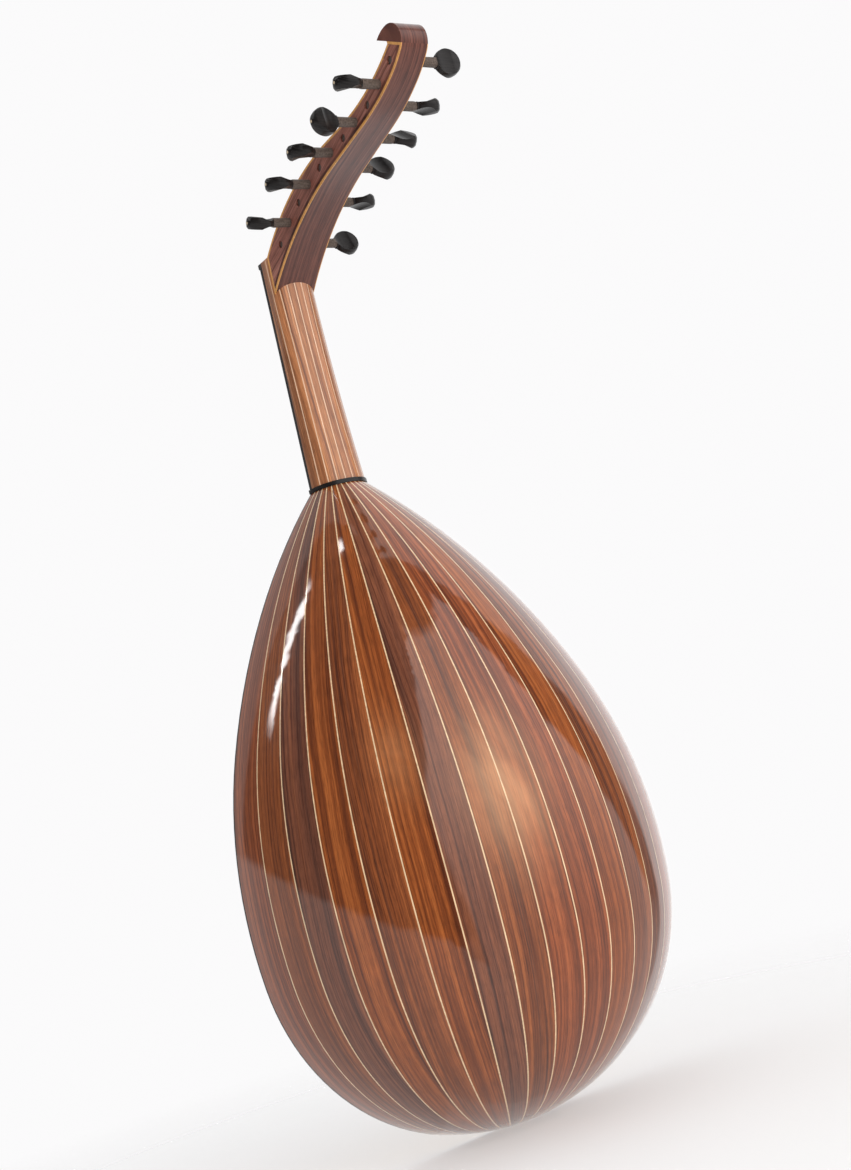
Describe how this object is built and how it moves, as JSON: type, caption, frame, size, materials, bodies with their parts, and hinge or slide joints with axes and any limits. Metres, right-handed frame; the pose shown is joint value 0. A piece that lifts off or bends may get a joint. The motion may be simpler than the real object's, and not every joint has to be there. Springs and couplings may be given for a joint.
{
  "type": "oud",
  "caption": "Short-necked fretless lute with a bowl of glued ribs, a flat soundboard, a bent-back pegbox and turned friction pegs.",
  "frame": {"origin": "tail end of the soundboard's underside, on the centre line", "axes": "+Z along the neck towards the pegbox, -Y out of the soundboard's face, +Y into the bowl, +X across the soundboard"},
  "size_m": [0.352, 0.2621, 0.8015],
  "materials": {
    "rib_dark": "high-gloss lacquer over dark walnut",
    "rib_warm": "high-gloss lacquer over red-brown walnut",
    "light_line": "lacquered maple strip",
    "inner_spruce": "bare spruce",
    "paper": "glued paper tape",
    "edge_wood": "gloss lacquer",
    "spruce_top": "satin",
    "rosette_wood": "satin",
    "guard_veneer": "satin",
    "neck_core": "bare mahogany",
    "neck_stave": "satin lacquer over walnut staves",
    "neck_line": "satin lacquer over maple",
    "ebony": "polished ebony",
    "bone": "polished bone",
    "maple_edging": "satin",
    "rosewood": "satin lacquer",
    "peg_ebony": "satin turned ebony",
    "bridge_wood": "satin",
    "wound_string": "wound",
    "nylon_string": "clear nylon"
  },
  "bodies": {
    "instrument": {"rib_left_1": "rib_dark", "rib_left_2": "rib_warm", "rib_left_3": "rib_dark", "rib_left_4": "rib_warm", "rib_left_5": "rib_dark", "rib_left_6": "rib_warm", "rib_left_7": "rib_dark", "rib_left_8": "rib_warm", "rib_left_edge": "rib_dark", "rib_centre": "rib_dark", "rib_right_1": "rib_warm", "rib_right_2": "rib_dark", "rib_right_3": "rib_warm", "rib_right_4": "rib_dark", "rib_right_5": "rib_warm", "rib_right_6": "rib_dark", "rib_right_7": "rib_warm", "rib_right_8": "rib_dark", "rib_right_edge": "rib_warm", "rib_lines": "light_line", "tail_cap": "rib_dark", "neck_block": "inner_spruce", "tail_block": "inner_spruce", "joint_strips": "paper", "soundboard_braces": "inner_spruce", "edge_binding": "edge_wood", "soundboard": "spruce_top", "rosette_large": "rosette_wood", "rosette_left": "rosette_wood", "rosette_right": "rosette_wood", "pick_guard": "guard_veneer", "neck": "neck_core", "neck_staves": "neck_stave", "neck_lines": "neck_line", "fingerboard": "ebony", "nut": "bone", "neck_ring": "ebony", "pegbox_edging": "maple_edging", "pegbox_back": "rosewood", "pegbox_cheek_left": "rosewood", "pegbox_cheek_right": "rosewood", "pegbox_head": "rosewood", "bridge": "bridge_wood", "string_bass": "wound_string", "strings_course_2": "wound_string", "strings_course_3": "wound_string", "strings_course_4": "wound_string", "strings_course_5": "nylon_string", "strings_course_6": "nylon_string"},
    "peg_left_1_body": {"peg_left_1": "peg_ebony"},
    "peg_left_2_body": {"peg_left_2": "peg_ebony"},
    "peg_left_3_body": {"peg_left_3": "peg_ebony"},
    "peg_left_4_body": {"peg_left_4": "peg_ebony"},
    "peg_left_5_body": {"peg_left_5": "peg_ebony"},
    "peg_right_1_body": {"peg_right_1": "peg_ebony"},
    "peg_right_2_body": {"peg_right_2": "peg_ebony"},
    "peg_right_3_body": {"peg_right_3": "peg_ebony"},
    "peg_right_4_body": {"peg_right_4": "peg_ebony"},
    "peg_right_5_body": {"peg_right_5": "peg_ebony"},
    "peg_right_6_body": {"peg_right_6": "peg_ebony"}
  },
  "joints": [
    {"name": "peg_left_1_turn", "type": "hinge", "parent": "instrument", "child": "peg_left_1_body", "pos_m": [0, 0.06, 0.7299], "axis": [-1, 0, 0], "range_deg": [-900, 90]},
    {"name": "peg_left_2_turn", "type": "hinge", "parent": "instrument", "child": "peg_left_2_body", "pos_m": [0, 0.098, 0.74452], "axis": [-1, 0, 0], "range_deg": [-900, 90]},
    {"name": "peg_left_3_turn", "type": "hinge", "parent": "instrument", "child": "peg_left_3_body", "pos_m": [0, 0.136, 0.75232], "axis": [-1, 0, 0], "range_deg": [-900, 90]},
    {"name": "peg_left_4_turn", "type": "hinge", "parent": "instrument", "child": "peg_left_4_body", "pos_m": [0, 0.174, 0.75779], "axis": [-1, 0, 0], "range_deg": [-900, 90]},
    {"name": "peg_left_5_turn", "type": "hinge", "parent": "instrument", "child": "peg_left_5_body", "pos_m": [0, 0.212, 0.76835], "axis": [-1, 0, 0], "range_deg": [-900, 90]},
    {"name": "peg_right_1_turn", "type": "hinge", "parent": "instrument", "child": "peg_right_1_body", "pos_m": [0, 0.041, 0.71961], "axis": [-1, 0, 0], "range_deg": [-900, 90]},
    {"name": "peg_right_2_turn", "type": "hinge", "parent": "instrument", "child": "peg_right_2_body", "pos_m": [0, 0.079, 0.73813], "axis": [-1, 0, 0], "range_deg": [-900, 90]},
    {"name": "peg_right_3_turn", "type": "hinge", "parent": "instrument", "child": "peg_right_3_body", "pos_m": [0, 0.117, 0.74921], "axis": [-1, 0, 0], "range_deg": [-900, 90]},
    {"name": "peg_right_4_turn", "type": "hinge", "parent": "instrument", "child": "peg_right_4_body", "pos_m": [0, 0.155, 0.75483], "axis": [-1, 0, 0], "range_deg": [-900, 90]},
    {"name": "peg_right_5_turn", "type": "hinge", "parent": "instrument", "child": "peg_right_5_body", "pos_m": [0, 0.193, 0.762], "axis": [-1, 0, 0], "range_deg": [-900, 90]},
    {"name": "peg_right_6_turn", "type": "hinge", "parent": "instrument", "child": "peg_right_6_body", "pos_m": [0, 0.231, 0.77724], "axis": [-1, 0, 0], "range_deg": [-900, 90]}
  ]
}
